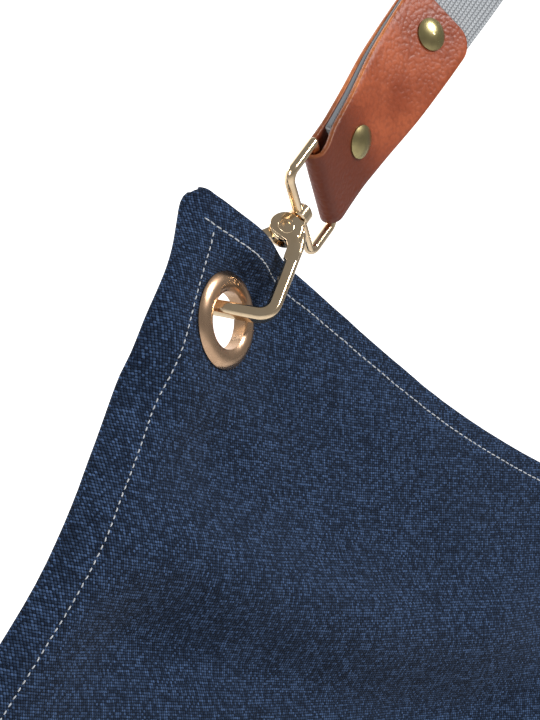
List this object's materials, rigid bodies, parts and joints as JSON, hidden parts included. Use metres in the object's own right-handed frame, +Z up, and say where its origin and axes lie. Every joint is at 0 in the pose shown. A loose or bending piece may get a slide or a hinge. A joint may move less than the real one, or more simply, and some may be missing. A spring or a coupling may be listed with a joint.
{
  "type": "bib apron",
  "caption": "Denim bib apron hanging by its neck strap, which clips to the bib's eyelets with swivel snap hooks on riveted leather tabs.",
  "frame": {"origin": "underside of the neck strap at its top, where it rests over a peg", "axes": "+Z up, +X to the right as the apron's front is seen, the front towards -Y"},
  "size_m": [0.67, 0.0289, 0.9587],
  "materials": {
    "apron_cloth": "dark blue plain weave denim",
    "webbing": "light grey ribbed webbing",
    "leather": "tan pebbled leather, waxed",
    "gold_hardware": "polished pale gold plating",
    "eyelet_metal": "satin rose gold",
    "antique_brass": "antique brass",
    "spring_steel": "bright spring wire"
  },
  "bodies": {
    "strap": {"neck_webbing": "webbing", "leather_tab_left": "leather", "rivet_cap_lower_left": "antique_brass", "rivet_cap_upper_left": "antique_brass", "rivet_stud_lower_left": "antique_brass", "rivet_stud_upper_left": "antique_brass", "leather_tab_right": "leather", "rivet_cap_lower_right": "antique_brass", "rivet_cap_upper_right": "antique_brass", "rivet_stud_lower_right": "antique_brass", "rivet_stud_upper_right": "antique_brass"},
    "apron": {"apron_panel": "apron_cloth", "neckline_hem": "apron_cloth", "bottom_hem": "apron_cloth", "front_pocket": "apron_cloth", "side_hem_left": "apron_cloth", "neck_eyelet_left": "eyelet_metal", "neck_eyelet_washer_left": "eyelet_metal", "waist_eyelet_left": "eyelet_metal", "waist_eyelet_washer_left": "eyelet_metal", "side_hem_right": "apron_cloth", "neck_eyelet_right": "eyelet_metal", "neck_eyelet_washer_right": "eyelet_metal", "waist_eyelet_right": "eyelet_metal", "waist_eyelet_washer_right": "eyelet_metal"},
    "loop_left": {"swivel_loop_left": "gold_hardware"},
    "hook_left": {"hook_body_left": "gold_hardware", "gate_rivet_left": "gold_hardware", "swivel_post_left": "gold_hardware"},
    "gate_left": {"hook_gate_left": "gold_hardware", "gate_spring_left": "spring_steel"},
    "loop_right": {"swivel_loop_right": "gold_hardware"},
    "hook_right": {"hook_body_right": "gold_hardware", "gate_rivet_right": "gold_hardware", "swivel_post_right": "gold_hardware"},
    "gate_right": {"hook_gate_right": "gold_hardware", "gate_spring_right": "spring_steel"}
  },
  "joints": [
    {"name": "apron_swing", "type": "hinge", "parent": "strap", "child": "apron", "pos_m": [0, -0.0029, -0.1667], "axis": [1, 0, 0], "range_deg": [-1.5, 4]},
    {"name": "loop_tilt_left", "type": "hinge", "parent": "strap", "child": "loop_left", "pos_m": [-0.11804, 0, -0.13182], "axis": [0.6198, 0.4748, -0.6248], "range_deg": [0, 3]},
    {"name": "hook_swivel_left", "type": "hinge", "parent": "loop_left", "child": "hook_left", "pos_m": [-0.12695, -0.00079, -0.14126], "axis": [0.6851, 0.0608, 0.7259], "range_deg": [-5, 2]},
    {"name": "gate_open_left", "type": "hinge", "parent": "hook_left", "child": "gate_left", "pos_m": [-0.13167, -0.00068, -0.14534], "axis": [-0.4102, -0.7914, 0.4532], "range_deg": [0, 1], "stiffness_Nm_per_rad": 0.004, "springref_deg": -20.05},
    {"name": "loop_tilt_right", "type": "hinge", "parent": "strap", "child": "loop_right", "pos_m": [0.11804, 0, -0.13182], "axis": [0.6198, -0.4748, 0.6248], "range_deg": [0, 3]},
    {"name": "hook_swivel_right", "type": "hinge", "parent": "loop_right", "child": "hook_right", "pos_m": [0.12695, -0.00079, -0.14126], "axis": [0.6851, -0.0608, -0.7259], "range_deg": [-5, 2]},
    {"name": "gate_open_right", "type": "hinge", "parent": "hook_right", "child": "gate_right", "pos_m": [0.13167, -0.00068, -0.14534], "axis": [-0.4102, 0.7914, -0.4532], "range_deg": [0, 1], "stiffness_Nm_per_rad": 0.004, "springref_deg": -20.05}
  ]
}
